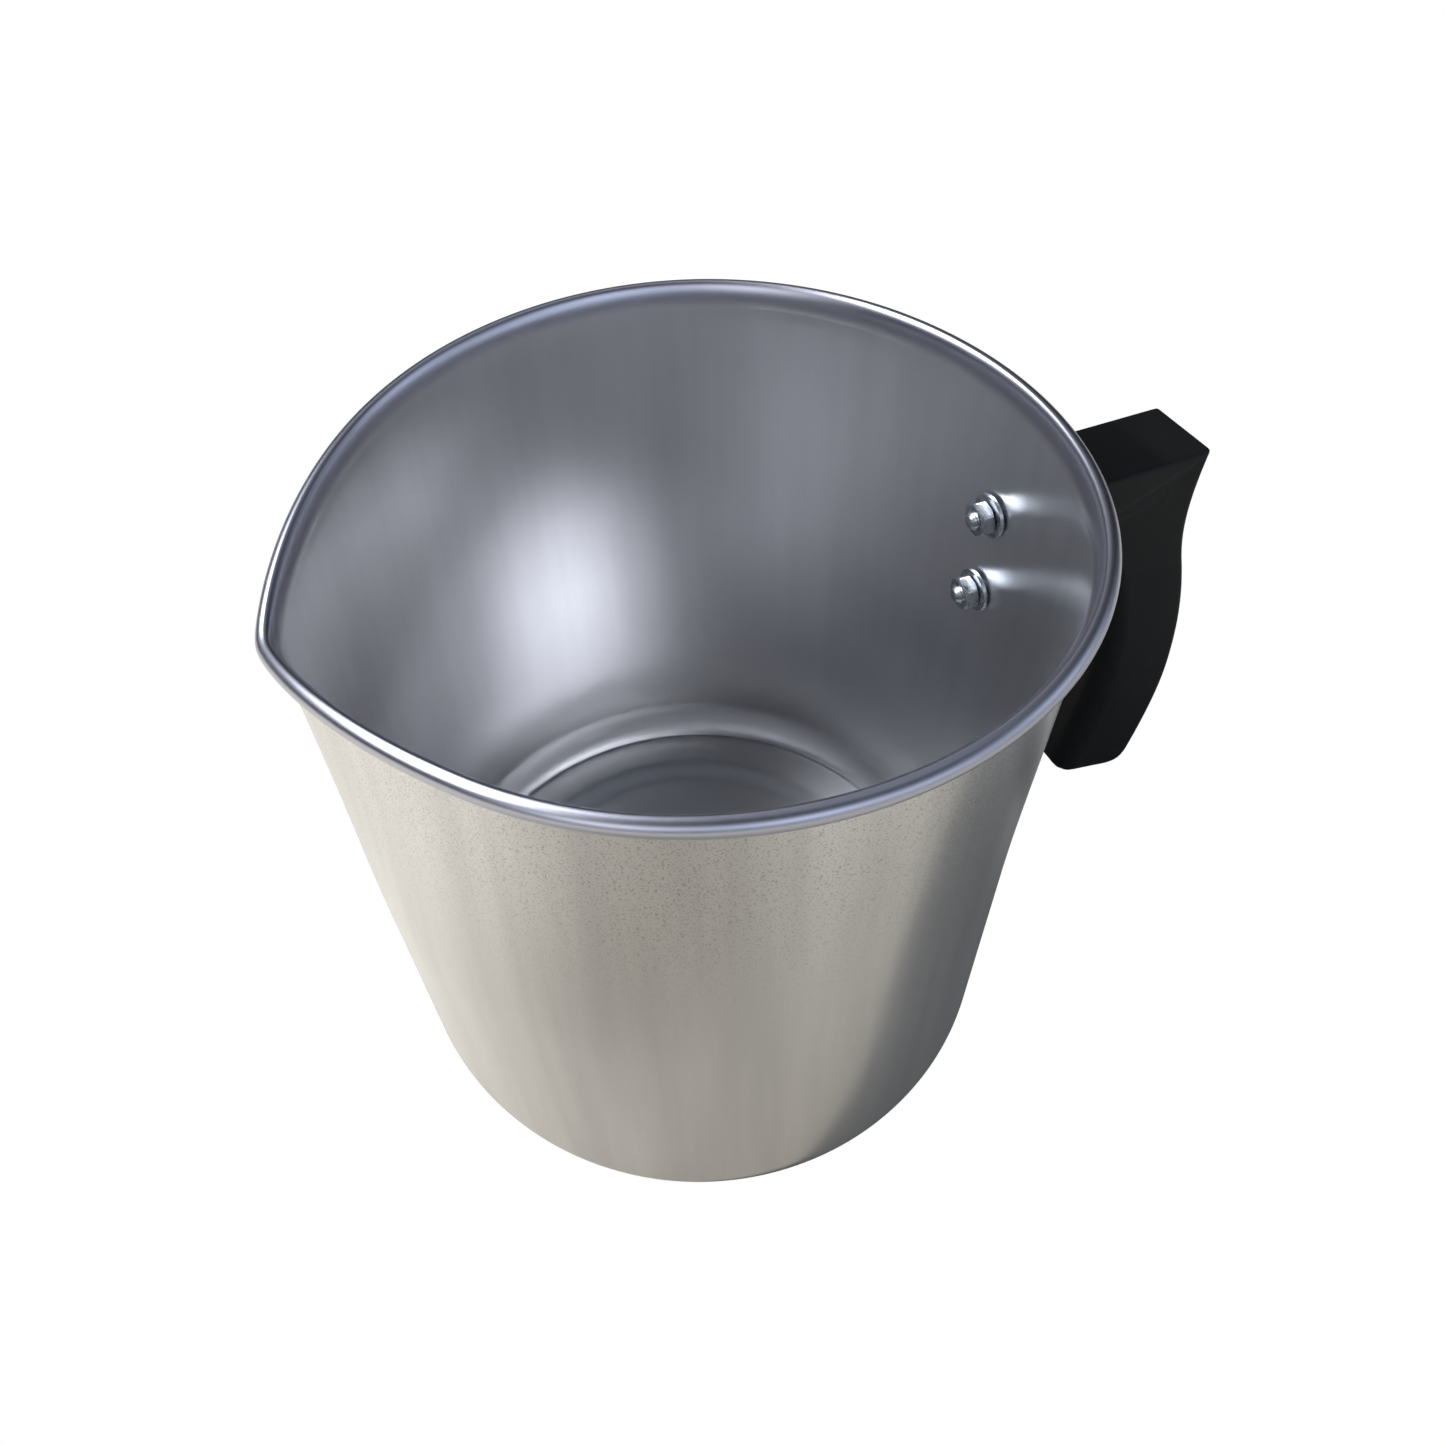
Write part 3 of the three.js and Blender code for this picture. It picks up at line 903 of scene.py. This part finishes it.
def aluminium(finish, add_wear_and_shade):
    """Satin drawn aluminium: fine turning lines, soft upright streaks, and a polished rolled
    bead whose colour is a painted dark reflection, darker and bluer.
    """
    s = Surface(finish["name"], {"Metallic": 1.0, "Anisotropic": finish["anisotropic"]})
    tangent = s.nodes.new("ShaderNodeTangent")
    tangent.direction_type = "RADIAL"
    tangent.axis = "Z"
    s.put(s.shader, "Tangent", tangent.outputs[0])
    polish_and_painted_reflection = s.attribute("polish_and_painted_reflection")
    lines = s.noise(s.turned(LINE_ROUNDNESS, finish["line_scale"]), 1.0, *FINE_NOISE)
    streaks = s.noise(s.turned(*STREAK_SCALES), 1.0)
    clouds = s.noise(s.place(), CLOUD_SCALE)
    speckle = s.noise(s.place(), SPECKLE_SCALE, *FINE_NOISE)

    darker = shaded(finish["colour"], finish["streak_shade"])
    base = s.blend(s.ramp(streaks, *MIDTONES), finish["colour"], darker)
    cloudy = s.ramp(clouds, *CLOUD_MIDTONES, *(finish["roughness"] + r for r in CLOUD_ROUGHNESS))
    lined = s.math("MULTIPLY", s.math("SUBTRACT", lines, 0.5), finish["line_depth"])
    worn = s.math("ADD", cloudy, lined)
    _, _, height = s.split(s.place())
    base, worn = add_wear_and_shade(s, height, base, worn)

    # The bead and lead-in get a painted dark reflection in their colour, on top of their polish.
    s.put(s.shader, "Base Color", s.blend(polish_and_painted_reflection, base, BEAD_PAINTED_REFLECTION_COLOUR))
    polished = s.ramp(speckle, *MIDTONES, *BURNISH_ROUGHNESS)
    s.put(s.shader, "Roughness", s.between(polish_and_painted_reflection, worn, polished))
    return s, speckle, polish_and_painted_reflection


def aluminium_inside():
    """Painted shade: darker in colour low down, and rougher there."""
    def shade_and_roughen_low(s, height, base, worn):
        low_painted_shade_and_roughness = s.ramp(height, *LOW_SHADE_AND_ROUGHNESS_HEIGHTS, 1.0, 0.0)
        rougher = s.math("MULTIPLY", low_painted_shade_and_roughness, DULL_ROUGHNESS)
        # Blends in the painted shade colour low down and adds roughness there.
        return s.blend(low_painted_shade_and_roughness, base, LOW_PAINTED_SHADE_COLOUR), s.math("ADD", worn, rougher)

    return aluminium(POT_INSIDE, shade_and_roughen_low)[0].material


def aluminium_outside():
    """Finely pitted, mostly near the rim."""
    def pit(s, height, base, worn):
        near_rim = s.ramp(height, *PIT_HEIGHTS, *PIT_SHARES)
        pits = s.ramp(s.noise(s.place(), PIT_SCALE, *FINE_NOISE), *PIT_LIMITS)
        return s.blend(s.math("MULTIPLY", pits, near_rim), base, PIT_COLOUR), worn

    s, speckle, polish_and_painted_reflection = aluminium(POT_OUTSIDE, pit)
    strength = s.ramp(polish_and_painted_reflection, 0.0, 1.0, *SPECKLE_STRENGTH)
    s.put(s.shader, "Normal", s.bump(speckle, SPECKLE_HEIGHT, strength))
    return s.material


def phenolic():
    """Semi-matt black moulding with a very fine grain."""
    s = Surface("black_phenolic", {"Metallic": 0.0, "Specular IOR Level": BLACK_SPECULAR})
    place = s.place()
    clouds = s.noise(place, BLACK_CLOUD_SCALE)
    grain = s.noise(place, BLACK_GRAIN["scale"], roughness=BLACK_GRAIN["roughness"])
    s.put(s.shader, "Base Color", s.blend(clouds, *BLACKS))
    s.put(s.shader, "Roughness", s.ramp(clouds, *MIDTONES, *BLACK_ROUGHNESS))
    s.put(s.shader, "Normal", s.bump(grain, BLACK_GRAIN["height"], BLACK_GRAIN["strength"]))
    return s.material


def zinc_plate():
    """Plated steel, slightly uneven in gloss."""
    s = Surface("zinc_plate", {"Metallic": 1.0})
    place = s.place()
    clouds = s.noise(place, ZINC_CLOUD_SCALE, ZINC_DETAIL)
    grain = s.noise(place, ZINC_GRAIN["scale"], ZINC_DETAIL)
    s.put(s.shader, "Base Color", s.blend(clouds, ZINC, shaded(ZINC, ZINC_SHADE)))
    s.put(s.shader, "Roughness", s.ramp(clouds, *MIDTONES, *ZINC_ROUGHNESS))
    s.put(s.shader, "Normal", s.bump(grain, ZINC_GRAIN["height"], ZINC_GRAIN["strength"]))
    return s.material


# ---------------------------------------------------------------- stage

FLOOR_SIZE = 3.0
# A painted shadow on the table in front of the pot, seen only in reflections: a darker patch
# round this centre.
PAINTED_SHADOW_CENTRE = (-0.07, -0.125, 0.0)
PAINTED_SHADOW_RADIUS = 0.17
PAINTED_SHADOW_COLOUR = (0.22, 0.205, 0.18, 1)
TABLE_COLOUR = (0.48, 0.463, 0.42, 1)

ROOM = (0.01, 0.01, 0.011)
DAYLIGHT = (0.93, 0.98, 1.08)
COOL_WALL = (0.80, 0.92, 1.15)
# Soft patches of light all round: azimuth (0 is +X, 90 is +Y), elevation and softness in
# degrees, then radiance and colour.
GLOWS = (
    (136, 50, 8, 11.0, DAYLIGHT),
    (124, 51, 8, 7.2, DAYLIGHT),
    (172, 43, 8, 6.6, DAYLIGHT),
    (159, 42, 8, 5.4, DAYLIGHT),
    (60, 46, 12, 0.35, DAYLIGHT),
    (222, 22, 12, 1.9, DAYLIGHT),
    (268, 22, 14, 1.4, COOL_WALL),
    (300, 6, 14, 0.9, COOL_WALL),
    (340, 14, 14, 1.0, COOL_WALL),
    (0, 70, 14, 0.4, COOL_WALL),
)

LAMP_AZIMUTH = 171
LAMP_ELEVATION = 44
LAMP_AIM = (0, 0, 0.07)
LAMP_DISTANCE = 0.8
LAMP_SIZE = 0.03
LAMP_WATTS = 6.4
LAMP_COLOUR = (1.0, 0.95, 0.88)

CAMERA_PLACE = (-0.05467, -0.16826, 0.28363)
CAMERA_HEADING = -13.76
CAMERA_PITCH = 42.94
CAMERA_ROLL = -7.26
CAMERA_NEAREST = 0.01
SENSOR_WIDTH = 36.0
LENS = 29.90
SHIFT = (0.0817, -0.0807)

MAX_BOUNCES = 20
GLOSSY_BOUNCES = 16


def direction(azimuth, elevation):
    a, e = math.radians(azimuth), math.radians(elevation)
    return Vector((math.cos(a) * math.cos(e), math.sin(a) * math.cos(e), math.sin(e)))


def table_surface():
    """White to the camera. Polished metal reflects it as a warm table with a painted shadow,
    darker in front.
    """
    s = Surface("pale_floor", {})
    s.nodes.remove(s.shader)
    from_painted_shadow = s.vector("DISTANCE", s.place(), PAINTED_SHADOW_CENTRE)
    diffuse = s.nodes.new("ShaderNodeBsdfDiffuse")
    # Painted shadow: the table's colour darkens towards the patch's centre.
    outside_painted_shadow = s.ramp(from_painted_shadow, 0.0, PAINTED_SHADOW_RADIUS)
    s.put(diffuse, "Color", s.blend(outside_painted_shadow, PAINTED_SHADOW_COLOUR, TABLE_COLOUR))
    white = s.nodes.new("ShaderNodeEmission")
    s.behind_plain(white.outputs[0], diffuse.outputs[0], "Material Output")
    return s.material


def build_floor():
    half = FLOOR_SIZE / 2
    mesh = bpy.data.meshes.new("floor")
    corners = [(-half, -half, 0), (half, -half, 0), (half, half, 0), (-half, half, 0)]
    mesh.from_pydata(corners, [], [(0, 1, 2, 3)])
    mesh.materials.append(table_surface())
    floor = add_object("floor", mesh)


def build_world():
    """A room of soft glows. The camera sees plain white in its place."""
    world = bpy.data.worlds.new("studio")
    bpy.context.scene.world = world
    world.use_nodes = True
    w = Graph(world.node_tree)
    looking = w.nodes.new("ShaderNodeTexCoord").outputs["Generated"]
    total = ROOM
    for azimuth, elevation, softness, radiance, colour in GLOWS:
        tightness = 1 / math.radians(softness) ** 2
        facing = w.vector("DOT_PRODUCT", looking, direction(azimuth, elevation))
        fall = w.math("MULTIPLY_ADD", facing, tightness, -tightness)
        tint = tuple(channel * radiance for channel in colour)
        total = w.vector("ADD", w.vector("SCALE", tint, w.math("EXPONENT", fall)), total)
    room = w.nodes["Background"]
    w.put(room, 0, total)
    white = w.nodes.new("ShaderNodeBackground")
    w.put(white, 0, (1, 1, 1, 1))
    w.behind_plain(white.outputs[0], room.outputs[0], "World Output")


def build_lamp():
    """A small lamp beside the beak. It draws the pot's sharp shadow on the table."""
    light = bpy.data.lights.new("table_lamp", "AREA")
    light.shape = "DISK"
    light.size = LAMP_SIZE
    light.energy = LAMP_WATTS
    light.color = LAMP_COLOUR
    away = direction(LAMP_AZIMUTH, LAMP_ELEVATION)
    lamp = add_object("table_lamp", light)
    lamp.location = Vector(LAMP_AIM) + away * LAMP_DISTANCE
    lamp.rotation_euler = away.to_track_quat("Z", "Y").to_euler()
    lamp.visible_glossy = False


def build_camera():
    data = bpy.data.cameras.new("camera")
    data.sensor_width = SENSOR_WIDTH
    data.lens = LENS
    data.shift_x, data.shift_y = SHIFT
    data.clip_start = CAMERA_NEAREST
    camera = add_object("camera", data)
    heading = Matrix.Rotation(math.radians(CAMERA_HEADING), 4, "Z")
    pitch = Matrix.Rotation(math.radians(90 - CAMERA_PITCH), 4, "X")
    roll = Matrix.Rotation(math.radians(CAMERA_ROLL), 4, "Z")
    camera.matrix_world = Matrix.Translation(CAMERA_PLACE) @ heading @ pitch @ roll
    bpy.context.scene.camera = camera


def set_up_scene():
    scene = bpy.context.scene
    scene.view_settings.view_transform = "Standard"
    scene.cycles.max_bounces = MAX_BOUNCES
    scene.cycles.glossy_bounces = GLOSSY_BOUNCES


# ---------------------------------------------------------------- assembly


def put_in(piece, node):
    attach(piece, "root")
    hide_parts(node)


def build_object():
    pot = build_pot(aluminium_outside(), aluminium_inside())
    zinc = zinc_plate()
    put_in(pot, "pot_shell")
    put_in(build_handle(phenolic()), "handle")
    for level, height in FIXING_HEIGHTS.items():
        put_in(build_stud(level, height, zinc), f"stud_{level}")
        put_in(build_nut(level, height, zinc), f"nut_{level}")
        put_in(build_washer(level, height, zinc), f"flat_washer_{level}")


set_up_scene()
build_camera()
build_floor()
build_world()
build_lamp()
build_object()
